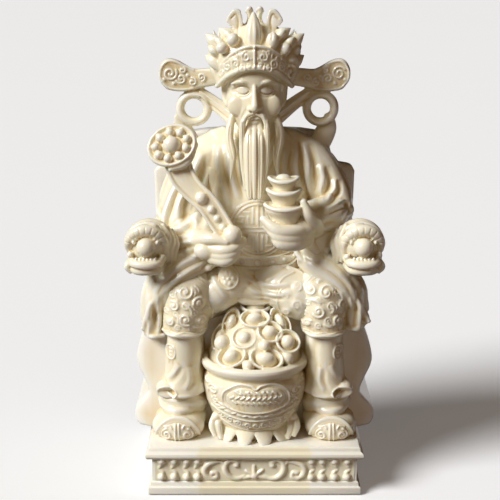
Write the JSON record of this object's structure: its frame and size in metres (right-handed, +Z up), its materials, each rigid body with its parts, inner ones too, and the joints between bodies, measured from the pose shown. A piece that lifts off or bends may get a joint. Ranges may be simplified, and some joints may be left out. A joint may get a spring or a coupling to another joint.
{
  "type": "caishen figure",
  "caption": "Seated god of wealth with sceptre and stacked ingots on a dragon-armed throne, a pot of ingots between the feet, on a carved plinth.",
  "frame": {"origin": "centre of the plinth's flat underside", "axes": "+Z up, -Y out of the figure's front, +X to the viewer's right, which is the figure's left"},
  "size_m": [0.1046, 0.0763, 0.2],
  "materials": {
    "ivory_resin": "ivory-coloured cast resin, smooth and softly polished"
  },
  "bodies": {
    "root": {"caishen_figure": "ivory_resin"}
  },
  "joints": []
}
